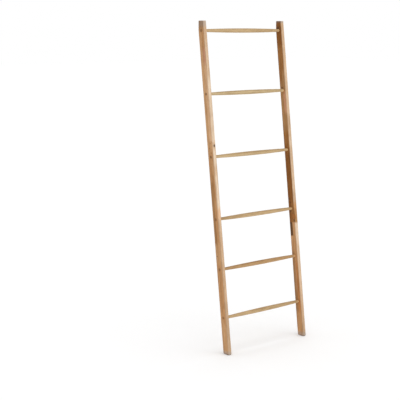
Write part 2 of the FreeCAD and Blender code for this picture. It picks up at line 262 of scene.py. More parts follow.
class LadderFinish(bpy.types.PropertyGroup):
    """Colours of the woods, rubber and steel, as they look in plain light."""

    bleached: Tone(name="Bleached Wood", description="Palest sapwood", default=(0.715, 0.555, 0.400))
    cream: Tone(name="Cream Wood", description="Pale sapwood", default=(0.635, 0.452, 0.296))
    tan: Tone(name="Tan Wood", description="Common sapwood", default=(0.582, 0.395, 0.245))
    dun: Tone(name="Dun Wood", description="Darkest sapwood", default=(0.530, 0.360, 0.224))
    amber: Tone(
        name="Amber Wood", description="Sapwood stained by the heartwood beside it",
        default=(0.730, 0.472, 0.285),
    )
    light: Tone(name="Light Wood", description="Palest staves", default=(0.660, 0.410, 0.230))
    honey: Tone(name="Honey Wood", description="Yellowish staves", default=(0.580, 0.332, 0.160))
    brown: Tone(name="Brown Wood", description="Most common staves", default=(0.530, 0.281, 0.123))
    rose: Tone(name="Rose Wood", description="Staves with a rosy cast", default=(0.550, 0.276, 0.153))
    blush: Tone(
        name="Blush Wood", description="Paler staves with a rosy cast", default=(0.600, 0.315, 0.190)
    )
    russet: Tone(name="Russet Wood", description="Reddish brown staves", default=(0.500, 0.218, 0.075))
    rust: Tone(name="Rust Wood", description="Red wood of a large knot", default=(0.420, 0.160, 0.040))
    walnut: Tone(name="Walnut Wood", description="Greyish brown staves", default=(0.400, 0.210, 0.083))
    umber: Tone(name="Umber Wood", description="Dark brown staves", default=(0.335, 0.147, 0.041))
    dark: Tone(name="Dark Wood", description="Darkest staves", default=(0.253, 0.096, 0.018))
    sepia: Tone(
        name="Sepia Wood", description="Mineral streaks, nearly black", default=(0.140, 0.065, 0.022)
    )
    rung: Tone(name="Rung Wood", description="Turned rungs", default=(0.545, 0.415, 0.236))
    plug: Tone(
        name="Plug Wood", description="End grain of the plugs, dark with oil", default=(0.240, 0.130, 0.060)
    )
    knot: Tone(name="Knot", description="Dark knots and streaks", default=(0.085, 0.040, 0.020))
    rubber: Tone(
        name="Rubber", description="Pads under the feet and on the wall", default=(0.035, 0.032, 0.03)
    )
    steel: Tone(name="Steel", description="Zinc plated screws", default=(0.62, 0.62, 0.60))
    ring_spacing: Length(name="Ring Spacing", description="Growth rings of the wood", default=0.0042)
    finger_length: Length(
        name="Finger Length", description="Glued fingers where two staves meet", default=0.006
    )
    finger_width: Length(
        name="Finger Width", description="From one glued finger to the next", default=0.0055
    )


class LadderStage(bpy.types.PropertyGroup):
    """Camera, light and floor."""

    camera_place: FloatVectorProperty(
        name="Camera", description="Where the camera stands",
        default=(-3.615, FOOT_BACK - 4.017, RAIL_FOOT + 1.740), subtype="TRANSLATION", unit="LENGTH",
    )
    camera_heading: Angle(
        name="Heading", description="How far the camera looks to the right of the wall",
        default=math.radians(38.07),
    )
    camera_dip: Angle(name="Dip", description="How far the camera looks down", default=math.radians(9.69))
    lens: FloatProperty(
        name="Lens", description="Focal length for a frame 36 mm wide, in millimetres",
        default=90.0, unit="CAMERA",
    )
    sky_strength: FloatProperty(name="Sky", description="Soft light from all round", default=0.60)
    top_strength: FloatProperty(
        name="Top Lamp", description="Soft lamp above the ladder, which gives its shadow on the floor",
        default=1.2,
    )
    top_spread: Angle(
        name="Top Spread", description="How large the top lamp looks from the ladder",
        default=math.radians(60),
    )
    top_turn: Turn(
        name="Top Turn", description="How the top lamp tilts from straight down",
        default=(math.radians(-3), math.radians(3), 0.0),
    )
    front_strength: FloatProperty(
        name="Front Lamp", description="Large soft lamp in front of the ladder", default=1.15
    )
    front_spread: Angle(
        name="Front Spread", description="How large the front lamp looks from the ladder",
        default=math.radians(70),
    )
    front_turn: Turn(
        name="Front Turn", description="How the front lamp tilts from straight down",
        default=(math.radians(76), 0.0, math.radians(10)),
    )
    floor: Tone(name="Floor", description="Pale floor", default=(0.94, 0.94, 0.94))
    floor_size: Length(name="Floor Size", description="Floor from edge to edge", default=80.0)


# Node trees


def add_node(tree, kind, inputs=None, **settings):
    """Add a node, change its settings, then give its inputs a value or a link each."""
    node = tree.nodes.new(kind)
    for name, value in settings.items():
        setattr(node, name, value)
    for key, value in (inputs or {}).items():
        if isinstance(value, bpy.types.NodeSocket):
            tree.links.new(value, node.inputs[key])
        else:
            node.inputs[key].default_value = value
    return node


def tree_of(*values):
    """The node tree of the first socket among some values."""
    return next(value.id_data for value in values if isinstance(value, bpy.types.NodeSocket))


def maths(operation, *values):
    """One sum on numbers, at least one of which is a socket."""
    inputs = dict(enumerate(values))
    return add_node(tree_of(*values), "ShaderNodeMath", inputs, operation=operation).outputs[0]


# The two sums used most.
times = partial(maths, "MULTIPLY")
plus = partial(maths, "ADD")


def vector_maths(operation, *values):
    """One sum on vectors, at least one of which is a socket."""
    inputs = dict(enumerate(values))
    node = add_node(tree_of(*values), "ShaderNodeVectorMath", inputs, operation=operation)
    return node.outputs["Value" if operation == "LENGTH" else "Vector"]


def add_up(parts, level=0.0):
    """Add numbers to a level, each by its share."""
    for value, share in parts:
        level = maths("MULTIPLY_ADD", value, share, level)
    return level


def split(vector):
    """The three numbers of a vector."""
    return add_node(vector.id_data, "ShaderNodeSeparateXYZ", {0: vector}).outputs


def join(x, y=0.0, z=0.0):
    """A vector of three numbers."""
    return add_node(tree_of(x, y, z), "ShaderNodeCombineXYZ", {0: x, 1: y, 2: z}).outputs[0]


def fade(value, start, end, low=0.0, high=1.0):
    """Go smoothly from low to high while value goes from start to end."""
    given = {"Value": value, "From Min": start, "From Max": end, "To Min": low, "To Max": high}
    return add_node(value.id_data, "ShaderNodeMapRange", given, interpolation_type="SMOOTHSTEP").outputs[0]


def tint(share, colour, other, way="MIX"):
    """Lay a second colour over a first one, by a share. A colour is a socket or three numbers."""
    inputs = {0: share}
    for key, value in ((6, colour), (7, other)):
        inputs[key] = value if isinstance(value, bpy.types.NodeSocket) else (*value, 1.0)
    tree = tree_of(share, colour, other)
    return add_node(tree, "ShaderNodeMix", inputs, data_type="RGBA", blend_type=way).outputs[2]


def shade_by(share, colour, name):
    """Multiply a wood's colour by a tint, by a share."""
    return tint(share, colour, TINTS[name], "MULTIPLY")


def ramp(reach, stops, way="LINEAR"):
    """A colour that follows a reach from 0 to 1. Each stop is a place and a colour of three numbers."""
    node = add_node(reach.id_data, "ShaderNodeValToRGB", {0: reach})
    node.color_ramp.interpolation = way
    elements = node.color_ramp.elements
    elements.remove(elements[-1])
    for number, (place, colour) in enumerate(stops):
        stop = elements.new(place) if number else elements[0]
        stop.position = place
        stop.color = (*colour, 1.0)
    return node.outputs[0]


def noise_at(place, name, roughness=0.5, output=0):
    """One of the noise patterns at a place."""
    waves, detail = PATTERNS[name]
    scaled = vector_maths("MULTIPLY", place, waves)
    given = {"Vector": scaled, "Scale": 1.0, "Detail": detail, "Roughness": roughness}
    return add_node(place.id_data, "ShaderNodeTexNoise", given).outputs[output]


def swing(value, width):
    """Let a pattern swing about zero over a width."""
    return maths("MULTIPLY_ADD", value, width, -width / 2)


def own_place(tree, foot=(0.0, 0.0, 0.0), turn=(0.0, 0.0, 0.0)):
    """Where a point of a surface lies, from the foot of its piece and along the piece's own axes."""
    place = add_node(tree, "ShaderNodeTexCoord").outputs["Object"]
    given = {"Vector": place, "Location": foot, "Rotation": turn}
    return add_node(tree, "ShaderNodeMapping", given, vector_type="TEXTURE").outputs[0]


def read_mark(tree, name):
    """A number that a mesh carries as a named mark."""
    return add_node(tree, "ShaderNodeAttribute", attribute_name=name).outputs["Fac"]


def new_surface(name, **looks):
    """A material with one surface shader, whose fixed looks are set on its own sockets."""
    material = bpy.data.materials.new(name)
    material.use_nodes = True
    tree = material.node_tree
    shader = tree.nodes["Principled BSDF"]
    for socket, value in looks.items():
        shader.inputs[socket.replace("_", " ")].default_value = value
    return material, tree, shader


def coat(tree, shader, colour, roughness, height, depth):
    """Give a surface its colour, its roughness and a pattern that stands out by a depth in metres."""
    bump = add_node(tree, "ShaderNodeBump", {"Strength": 1.0, "Distance": depth, "Height": height})
    for socket, value in (("Base Color", colour), ("Roughness", roughness), ("Normal", bump.outputs[0])):
        tree.links.new(value, shader.inputs[socket])


# Woods


def grain(place, tone, ring_spacing, pith):
    """Colour, roughness and height of oiled wood whose fibres run along Z of place.

    The rings lie round a pith beside the piece. Where they cross a face steeply they draw fine lines,
    and where they touch it they draw long arches."""
    wander = Vector((0.014, 0.014, 0.0))
    pith_drift = (0.011, -0.006)
    late_share = 0.22
    fibre_share = 0.32
    shade_level = -0.10
    pore_share = 0.55
    pore_roughness = 0.16
    bend = vector_maths("MULTIPLY_ADD", noise_at(place, "wander", output="Color"), wander, -wander / 2)
    bent = vector_maths("ADD", place, bend)
    *sides, along = split(bent)
    from_pith = [
        plus(side, maths("MULTIPLY_ADD", along, drift, -centre))
        for side, drift, centre in zip(sides, pith_drift, pith)
    ]
    radius = vector_maths("LENGTH", join(*from_pith))
    ring = maths("FRACT", maths("DIVIDE", radius, ring_spacing))
    late_wood = times(fade(ring, 0.25, 0.9), fade(ring, 1.0, 0.94))
    fibre = noise_at(bent, "fibre", roughness=0.62)
    pore = fade(noise_at(bent, "pore"), 0.60, 0.70)
    pore = times(pore, fade(ring, 0.75, 0.2, 0.35, 1.0))

    # Every pattern adds its share to one shade, which goes from pale to dark and is the tone in the middle.
    parts = [(late_wood, late_share), (fade(fibre, 0.28, 0.72), fibre_share)]
    for name, share in BROAD_SHARES.items():
        parts.append((fade(noise_at(bent, name), 0.31, 0.69), share))
    figure = tint(add_up(parts, shade_level), TINTS["pale figure"], TINTS["dark figure"])
    colour = tint(1.0, tone, figure, "MULTIPLY")
    colour = shade_by(times(pore, pore_share), colour, "pore")

    roughness = add_up([(pore, pore_roughness)], fade(fibre, 0.30, 0.72, 0.50, 0.66))
    height = add_up([(fibre, -0.7), (pore, -0.8), (late_wood, 0.35)])
    return colour, roughness, height


def tone_ramp(reach, side, strip, finish):
    """The tones of one strip of a rail, abrupt where staves are glued and slow elsewhere."""
    slow_change = 0.03
    glue_line = 0.0004
    stretches = list(STRETCHES[side][strip].items())
    stops = []
    for (end, tone), (_, following) in zip(stretches, stretches[1:]):
        change = glue_line if end in JOINTS[side] else slow_change
        for place, name in ((end - change / 2, tone), (end + change / 2, following)):
            stops.append((place / RAIL_LENGTH, getattr(finish, name)))
    return ramp(reach, stops)


def lay_streaks(tone, side, place, finish):
    """Draw the darker streaks of a rail, which wander a little and fade out at their ends."""
    fade_out = 0.025
    wander = 0.008
    full_share = 0.3
    _, deep, along = split(place)
    wandering = plus(deep, swing(noise_at(place, "streak"), wander))
    for middle_line, half_width, low, high, name, share in STREAKS[side]:
        aside = maths("ABSOLUTE", maths("SUBTRACT", wandering, middle_line))
        streak = fade(aside, half_width, half_width * full_share, 0.0, share)
        for end, inwards in ((low, fade_out), (high, -fade_out)):
            streak = times(streak, fade(along, end, end + inwards))
        tone = tint(streak, tone, getattr(finish, name))
    return tone


def lay_knots(tone, own, side, place, finish):
    """Draw the knots of a rail, and in the same way the spots of painted shade beside its rung ends: their
    tone, the grain bent round them, and their rings and broken rims.

    Distances count from a knot's middle, and its rim lies at one."""
    ring_width = 0.0014
    raggedness = 0.5
    length_share = 1.4
    lines = 0.0
    ragged = swing(noise_at(place, "knot"), raggedness)
    broken = fade(noise_at(place, "rim"), 0.40, 0.62, 0.15, 1.0)
    for *centre, size, name in KNOTS[side]:
        away = vector_maths("SUBTRACT", place, centre)
        squeezed = vector_maths("DIVIDE", away, (size, size, size * length_share))
        distance = plus(vector_maths("LENGTH", squeezed), ragged)
        pull = fade(distance, 3.5, 0.5, 0.0, -0.6)
        own = vector_maths("ADD", own, vector_maths("MULTIPLY", away, pull))
        inside = fade(distance, 1.05, 0.80, 0.0, 0.9)
        tone = tint(inside, tone, getattr(finish, name))
        rim = times(fade(distance, 1.10, 0.98), fade(distance, 0.82, 0.96))
        wave = maths("SINE", times(distance, math.tau * size / ring_width))
        ring = times(fade(wave, 0.1, 0.9, 0.0, 0.4), inside)
        for line in (times(rim, broken), ring):
            lines = maths("MAXIMUM", lines, line)
    return tone, own, lines


def painted_joint_shade(deep, along):
    """How much painted shade lies round each rung's joint, where the rung meets the rail and where the
    screw and the plug are.
    """
    outer_radius = 0.0125
    inner_radius = 0.0055
    heights = sorted(rung_reach(number) / RAIL_LENGTH for number in RUNGS)
    stops = [
        ((below + height) / 2, (height, height, height))
        for below, height in zip([-heights[0], *heights], heights)
    ]
    nearest = ramp(maths("DIVIDE", along, RAIL_LENGTH), stops, "CONSTANT")
    beside = maths("SUBTRACT", along, times(nearest, RAIL_LENGTH))
    away = vector_maths("LENGTH", join(deep, beside))
    return fade(away, outer_radius, inner_radius)


def rail_tones(side, place, reach, sizes, finish):
    """Tones of a rail: two halves and the sapwood in front, which meet along uneven lines, and streaks."""
    unevenness = 0.006
    back_half = (0.0015, 0.0045)
    sapwood_depth = (0.0070, 0.0050)
    strips = {strip: tone_ramp(reach, side, strip, finish) for strip in STRETCHES[side]}
    deep = split(place)[1]
    edge = maths("MULTIPLY_ADD", noise_at(place, "strip"), unevenness, deep)
    tone = tint(fade(edge, *back_half), strips["front"], strips["back"])
    pale = fade(edge, *(depth - sizes.rail_depth / 2 for depth in sapwood_depth))
    tone = tint(pale, tone, strips["sapwood"])
    return lay_streaks(tone, side, place, finish)


def shade_and_weather_rail(colour, side, place, sizes):
    """Darken a rail round its joints with painted shade and along its rounded edges, and weather its ends
    grey.
    """
    joint_shade_share = 0.45
    dark_edge_width = 0.0035
    dark_edge_share = 0.8
    grey_swing = 0.010
    full_share = 0.3
    across, deep, along = split(place)
    # Painted shade round each rung's joint.
    darkening = times(painted_joint_shade(deep, along), joint_shade_share)
    colour = shade_by(darkening, colour, "painted joint shade")
    # The long rounded edges are drawn darker.
    corner = [
        fade(maths("ABSOLUTE", offset), size / 2 - dark_edge_width, size / 2)
        for offset, size in ((across, sizes.rail_width), (deep, sizes.rail_depth))
    ]
    edge_darkening = times(times(*corner), dark_edge_share)
    colour = shade_by(edge_darkening, colour, "dark edge")

    # The grey lies level, however the rail leans.
    level = maths("MULTIPLY_ADD", deep, -math.tan(LEAN), along)
    level = plus(level, swing(noise_at(place, "strip"), grey_swing))
    low_reach, high_reach = WEATHERED[side]
    ends = [
        fade(level, end + reach, end + reach * full_share)
        for end, reach in ((0.0, low_reach), (RAIL_LENGTH, -high_reach))
    ]
    grey = {"Saturation": 0.70, "Value": 0.84, "Fac": maths("MAXIMUM", *ends), "Color": colour}
    return add_node(colour.id_data, "ShaderNodeHueSaturation", grey).outputs[0]


def rail_wood(side, sizes, finish):
    """Glued staves of a rail with sapwood in front, streaks, knots, stained joints and weathered ends."""
    stave_shift = (0.030, 0.016, 1.0)
    pith = (0.085, 0.030)
    line_share = 0.7
    grain_depth = 0.00012
    material, tree, shader = new_surface(f"{side}_rail_wood", Specular_IOR_Level=WOOD_GLOSS)
    place = own_place(tree, (middle(f"{side}_rail").x, FOOT_BACK, RAIL_FOOT), (-LEAN, 0.0, 0.0))
    across, _, along = split(place)

    # Fingers run up and down across the front face, so a joint is a zigzag there and level on the sides.
    zigzag = maths("PINGPONG", across, finish.finger_width / 2)
    zigzag = times(zigzag, 2 * finish.finger_length / finish.finger_width)
    reach = maths("DIVIDE", plus(along, zigzag), RAIL_LENGTH)
    tone = rail_tones(side, place, reach, sizes, finish)

    # Each stave has a grain of its own.
    stave = float(SIDES[side])
    for joint in JOINTS[side]:
        stave = plus(stave, maths("GREATER_THAN", reach, joint / RAIL_LENGTH))
    shift = add_node(tree, "ShaderNodeTexWhiteNoise", {"W": stave}, noise_dimensions="1D")
    own = vector_maths("MULTIPLY_ADD", shift.outputs["Color"], stave_shift, place)
    tone, own, lines = lay_knots(tone, own, side, place, finish)
    colour, roughness, height = grain(own, tone, finish.ring_spacing, pith)
    colour = tint(times(lines, line_share), colour, finish.knot)
    colour = shade_and_weather_rail(colour, side, place, sizes)
    coat(tree, shader, colour, roughness, height, grain_depth)
    return material


def rung_wood(finish):
    """Straight-grained wood of the rungs, each cut from its own board, with fine marks of the lathe."""
    pith = (0.06, 0.05)
    walnut_share = 0.7
    end_light_reach = (0.016, 0.006)
    lathe_step = 0.0016
    lathe_share = 0.12
    grain_depth = 0.00010
    material, tree, shader = new_surface("rung_wood", Specular_IOR_Level=WOOD_GLOSS)
    place = own_place(tree, turn=ACROSS)
    board = fade(read_mark(tree, "board"), 0.0, 1.0, 0.0, walnut_share)
    tone = tint(board, finish.rung, finish.walnut)
    colour, roughness, height = grain(place, tone, finish.ring_spacing, pith)

    # Painted shade darkens the upper side of each rung.
    colour = shade_by(fade(read_mark(tree, "upper"), 0.15, 0.85), colour, "painted top shade")
    # A painted highlight brightens the ends beside the rails.
    along = split(place)[2]
    inner_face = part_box("right_rail")[0].x
    painted_end_light = fade(maths("ABSOLUTE", along), *(inner_face - reach for reach in end_light_reach))
    colour = shade_by(painted_end_light, colour, "painted end light")
    wave = maths("SINE", times(along, math.tau / lathe_step))
    height = maths("MULTIPLY_ADD", wave, lathe_share, height)
    coat(tree, shader, colour, roughness, height, grain_depth)
    return material


def plug_wood(finish):
    """End grain of a plug, dark with oil, each plug a little different."""
    pith = (0.02, 0.05)
    russet_share = 0.4
    grain_depth = 0.00008
    material, tree, shader = new_surface("plug_wood", Specular_IOR_Level=WOOD_GLOSS)
    own = fade(read_mark(tree, "variation"), 0.0, 1.0, 0.0, russet_share)
    tone = tint(own, finish.plug, finish.russet)
    looks = grain(own_place(tree, turn=ACROSS), tone, finish.ring_spacing / 2, pith)
    coat(tree, shader, *looks, grain_depth)
    return material


# Rubber and steel


def pad_rubber(finish):
    """Matt moulded rubber with a fine pebble and a dusty bloom."""
    dust_gain = 2.4
    dust_level = 0.01
    pebble_depth = 0.00006
    material, tree, shader = new_surface("pad_rubber", Specular_IOR_Level=0.35)
    place = own_place(tree)
    bloom = noise_at(place, "bloom")
    dusty = [value * dust_gain + dust_level for value in finish.rubber]
    colour = tint(fade(bloom, 0.40, 0.75, 0.0, 0.6), finish.rubber, dusty)
    roughness = fade(bloom, 0.30, 0.70, 0.62, 0.85)
    coat(tree, shader, colour, roughness, noise_at(place, "pebble"), pebble_depth)
    return material


def screw_steel(finish):
    """Zinc plated steel with a cloudy, lightly scratched face."""
    darkening = 0.72
    scratch_depth = 0.00001
    material, tree, shader = new_surface("screw_steel", Metallic=1.0)
    place = own_place(tree)
    cloud = noise_at(place, "cloud")
    stained = [value * darkening for value in finish.steel]
    colour = tint(fade(cloud, 0.40, 0.75), finish.steel, stained)
    roughness = fade(cloud, 0.30, 0.70, 0.26, 0.46)
    coat(tree, shader, colour, roughness, noise_at(place, "scratch"), scratch_depth)
    return material


# Meshes


def bridge(shape, rings):
    """Join each ring of points to the next. A ring that is one point over and over closes the shape."""
    for ring, following in zip(rings, rings[1:]):
        for here in range(len(ring)):
            there = (here + 1) % len(ring)
            corners = (ring[here], ring[there], following[there], following[here])
            shape.faces.new(dict.fromkeys(corners))


def lathe(profile, segments):
    """Turn a profile of places along X and radii about X. A radius of zero makes a point."""
    shape = bmesh.new()
    angles = [math.tau * step / segments for step in range(segments)]
    rings = []
    for along, radius in profile:
        if radius == 0:
            rings.append([shape.verts.new((along, 0.0, 0.0))] * segments)
            continue
        places = [(along, radius * math.cos(angle), radius * math.sin(angle)) for angle in angles]
        rings.append([shape.verts.new(place) for place in places])
    bridge(shape, rings)
    bmesh.ops.recalc_face_normals(shape, faces=shape.faces)
    return shape


def as_mesh(shape, name):
    """Make a plain mesh of a shape and let the shape go."""
    mesh = bpy.data.meshes.new(name)
    shape.to_mesh(mesh)
    shape.free()
    return mesh


def add_object(name, mesh):
    """Put a mesh into the scene."""
    piece = bpy.data.objects.new(name, mesh)
    bpy.context.scene.collection.objects.link(piece)
    return piece


def settle(piece):
    """Turn a piece and its modifiers into a plain mesh, and remove the piece."""
    evaluated = piece.evaluated_get(bpy.context.evaluated_depsgraph_get())
    mesh = bpy.data.meshes.new_from_object(evaluated)
    bpy.data.objects.remove(piece)
    return mesh


def carve(mesh, cutter):
    """Cut one mesh out of another."""
    blank = add_object("blank", mesh)
    tool = add_object("tool", cutter)
    cut = blank.modifiers.new("cut", "BOOLEAN")
    cut.operation = "DIFFERENCE"
    cut.solver = "EXACT"
    cut.object = tool
    carved = settle(blank)
    bpy.data.objects.remove(tool)
    if len(carved.polygons) <= len(mesh.polygons):
        raise RuntimeError("a cut left no mark")
    return carved


def finish_piece(name, mesh, material, nodes):
    """Show a finished mesh in place of its solids."""
    crease = math.radians(35)
    mesh.materials.clear()
    mesh.materials.append(material)
    mesh.shade_smooth()
    mesh.set_sharp_from_angle(angle=crease)
    piece = add_object(name, mesh)
    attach(piece, BODY)
    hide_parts(*nodes)


# Rails


def rail_place(side):
    """Where a rail that was made upright, with its foot at zero, stands and leans."""
    foot = Vector((middle(f"{side}_rail").x, FOOT_BACK, RAIL_FOOT))
    return Matrix.Translation(foot) @ Matrix.Rotation(-LEAN, 4, "X")


def rounded_section(half_width, front, back, radius):
    """Points round a rail's section: six on each corner and a few along each face."""
    corner_steps = 5
    corners = ((half_width, back), (-half_width, back), (-half_width, front), (half_width, front))
    arcs = []
    for quarter, (x, y) in enumerate(corners):
        centre = Vector((x - math.copysign(radius, x), y - math.copysign(radius, y)))
        angles = [math.radians(90) * (quarter + step / corner_steps) for step in range(corner_steps + 1)]
        arcs.append([centre + radius * Vector((math.cos(a), math.sin(a))) for a in angles])
    points = []
    for quarter, (arc, following) in enumerate(zip(arcs, arcs[1:] + arcs[:1])):
        # Two more points follow on a wide face and one on a narrow face.
        along_face = (1 / 3, 2 / 3) if quarter % 2 else (1 / 2,)
        points += arc + [arc[-1].lerp(following[0], share) for share in along_face]
    return points


def rail_stations(sizes):
    """Places along a rail, with how far its section is drawn in there to round the ends."""
    end_steps = 5
    step_length = 0.012
    radius = sizes.end_radius
    straight = RAIL_LENGTH - 2 * radius
    arcs = [math.radians(90) * step / end_steps for step in range(end_steps + 1)]
    low = [(radius * (1 - math.sin(a)), radius * (1 - math.cos(a))) for a in reversed(arcs)]
    count = round(straight / step_length)
    between = [(radius + straight * step / count, 0.0) for step in range(1, count)]
    high = [(RAIL_LENGTH - along, inset) for along, inset in reversed(low)]
    return low + between + high


def rail_blank(side, sizes):
    """A rail before boring, upright with its foot at zero, its ends sloped so that they stand level.

    Near the top its back is drawn in along the wall. Its edges and faces are a little uneven."""
    edge_change = 0.16
    edge_line = 3.1
    edge_waves = 9.0
    face_waves = 60
    length_waves = 11.0
    seed_step = 10.0
    least_radius = 0.0004
    half_width = sizes.rail_width / 2
    half_depth = sizes.rail_depth / 2
    seed = Vector((0.0, 0.0, seed_step * SIDES[side]))
    shape = bmesh.new()
    rings = []
    for along, inset in rail_stations(sizes):
        wave = noise.noise(Vector((edge_line, 0.0, along * edge_waves)) + seed)
        radius = max(sizes.edge_radius * (1 + edge_change * wave) - inset, least_radius)
        front = inset - half_depth
        back = min(half_depth, (WALL_CUT - along * math.sin(LEAN)) * math.cos(LEAN)) - inset
        ring = []
        for x, y in rounded_section(half_width - inset, front, back, radius):
            spot = Vector((x * face_waves, y * face_waves, along * length_waves))
            dip = sizes.sanding_dip * (0.5 + 0.5 * noise.noise(spot + seed))
            if abs(x) > half_width - sizes.edge_radius:
                x -= math.copysign(dip, x)
            if not front + sizes.edge_radius < y < back - sizes.edge_radius:
                y -= math.copysign(dip, y)
            ring.append(shape.verts.new((x, y, along + y * math.tan(LEAN))))
        rings.append(ring)
    bridge(shape, rings)
    shape.faces.new(rings[0])
    shape.faces.new(rings[-1])
    bmesh.ops.recalc_face_normals(shape, faces=shape.faces)
    return as_mesh(shape, f"{side}_rail_blank")


def rail_bores(side, sizes):
    """The plug hole, screw hole and mortise at every rung, as one stepped bit each."""
    overrun = 0.001
    segments = 48
    width = sizes.rail_width
    plug_radius = sizes.plug_width / 2 + sizes.glue_gap
    mortise_radius = sizes.rung_end / 2 + sizes.glue_gap
    screw_radius = sizes.thread_width / 2 + sizes.glue_gap
    plug_depth = width / 2 - abs(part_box("left_screws")[0].x - middle("left_rail").x) + sizes.head_height
    flare = sizes.hole_chamfer + overrun
    bit = [
        (-overrun, 0),
        (-overrun, plug_radius + flare),
        (sizes.hole_chamfer, plug_radius),
        (plug_depth, plug_radius),
        (plug_depth, screw_radius),
        (width - sizes.mortise_depth, screw_radius),
        (width - sizes.mortise_depth, mortise_radius),
        (width - sizes.hole_chamfer, mortise_radius),
        (width + overrun, mortise_radius + flare),
        (width + overrun, 0),
    ]
    profile = [((width / 2 - depth) * SIDES[side], radius) for depth, radius in bit]
    bits = bmesh.new()
    for number in RUNGS:
        one = as_mesh(lathe(profile, segments), "bit")
        one.transform(Matrix.Translation((0.0, 0.0, rung_reach(number))))
        bits.from_mesh(one)
        bpy.data.meshes.remove(one)
    return as_mesh(bits, f"{side}_rail_bits")


class LADDER_OT_rails(bpy.types.Operator):
    """Make both rails, with rounded edges and a stepped bore at every rung"""

    bl_idname = "towel_ladder.rails"
    bl_label = "Make Rails"

    def execute(self, context):
        sizes = context.scene.ladder_sizes
        finish = context.scene.ladder_finish
        for side in SIDES:
            mesh = carve(rail_blank(side, sizes), rail_bores(side, sizes))
            mesh.transform(rail_place(side))
            wood = rail_wood(side, sizes, finish)
            finish_piece(f"{side}_rail_planed", mesh, wood, [f"{side}_rail"])
        return {"FINISHED"}


# Geometry trees


def geometry(tree, kind, inputs=None, **settings):
    """Add a geometry node and give its first output."""
    return add_node(tree, f"GeometryNode{kind}", inputs, **settings).outputs[0]


def store_mark(shape, name, value, domain):
    """Let a shape carry a number as a named mark."""
    given = {"Geometry": shape, "Name": name, "Value": value}
    return geometry(shape.id_data, "StoreNamedAttribute", given, data_type="FLOAT", domain=domain)


def random_number(highest, seed):
    """A random number from zero up for each point or instance."""
    given = {2: 0.0, 3: highest, "Seed": seed}
    return add_node(seed.id_data, "FunctionNodeRandomValue", given, data_type="FLOAT").outputs[1]


def new_tree(name, inputs, output):
    """A geometry tree with named inputs, and the sockets that bring them in."""
    tree = bpy.data.node_groups.new(name, "GeometryNodeTree")
    for label, kind in inputs.items():
        tree.interface.new_socket(label, in_out="INPUT", socket_type=f"NodeSocket{kind}")
    tree.interface.new_socket(output, in_out="OUTPUT", socket_type="NodeSocketGeometry")
    return tree, tree.nodes.new("NodeGroupInput").outputs


def close_tree(tree, shape, material):
    """Realize what the tree made, give it its material and hand it out."""
    realized = geometry(tree, "RealizeInstances", {0: shape})
    painted = geometry(tree, "SetMaterial", {"Geometry": realized, "Material": material})
    add_node(tree, "NodeGroupOutput", {0: painted})


def grow(name, mesh, tree, **values):
    """Run a geometry tree on a mesh with its inputs set, and give the result as a plain mesh."""
    piece = add_object(name, mesh)
    modifier = piece.modifiers.new(name, "NODES")
    modifier.node_group = tree
    for item in tree.interface.items_tree:
        key = item.name.lower().replace(" ", "_")
        if item.in_out == "INPUT" and key in values:
            modifier[item.identifier] = values.pop(key)
    if values:
        raise RuntimeError(f"{tree.name} has no input for {sorted(values)}")
    grown = settle(piece)
    if not grown.polygons:
        raise RuntimeError(f"{tree.name} made nothing")
    return grown


# Rungs


def turned_rung_tree():
    """A rung turned about X: straight at its ends, swelling by a parabola between, with pilot holes."""
    stations = 150
    rung_sides = 48
    pilot_sides = 20
    sizes = ("Length", "Span", "Middle Diameter", "End Diameter", "Pilot Diameter", "Pilot Depth", "Board")
    inputs = dict.fromkeys(sizes, "Float") | {"Place": "Vector", "Wood": "Material"}
    tree, given = new_tree("Turned rung", inputs, "Rung")

    half = times(given["Length"], 0.5)
    start = join(times(half, -1.0))
    end = join(half)
    line = geometry(tree, "CurvePrimitiveLine", {"Start": start, "End": end})
    line = geometry(tree, "ResampleCurve", {"Curve": line, "Count": stations})

    along = split(geometry(tree, "InputPosition"))[0]
    share = maths("DIVIDE", times(along, 2.0), given["Span"])
    drop = maths("MINIMUM", times(share, share), 1.0)
    swell = maths("SUBTRACT", given["Middle Diameter"], given["End Diameter"])
    width = maths("MULTIPLY_ADD", swell, maths("SUBTRACT", 1.0, drop), given["End Diameter"])
    radius = times(width, 0.5)
    ring = geometry(tree, "CurvePrimitiveCircle", {"Resolution": rung_sides, "Radius": 1.0})
    swept = {"Curve": line, "Profile Curve": ring, "Scale": radius, "Fill Caps": True}
    rung = geometry(tree, "CurveToMesh", swept)

    # The pilot holes reach past the ends, so that the cut is clean.
    pilot_length = times(given["Pilot Depth"], 2.0)
    pilot_radius = times(given["Pilot Diameter"], 0.5)
    drill = {"Vertices": pilot_sides, "Radius": pilot_radius, "Depth": pilot_length}
    pilot = geometry(tree, "MeshCylinder", drill)
    pilots = add_node(tree, "GeometryNodeJoinGeometry")
    for place in (start, end):
        moved = {"Geometry": pilot, "Translation": place, "Rotation": ACROSS}
        tree.links.new(geometry(tree, "Transform", moved), pilots.inputs[0])
    cut = {"Mesh 1": rung, "Mesh 2": pilots.outputs[0]}
    rung = geometry(tree, "MeshBoolean", cut, operation="DIFFERENCE", solver="EXACT")

    # Two marks for the wood: which board it is, and how far each place faces up, which sets the painted
    # shade on top.
    upper = split(geometry(tree, "InputNormal"))[2]
    for name, value in (("board", given["Board"]), ("upper", upper)):
        rung = store_mark(rung, name, value, "POINT")
    placed = geometry(tree, "Transform", {"Geometry": rung, "Translation": given["Place"]})
    close_tree(tree, placed, given["Wood"])
    return tree


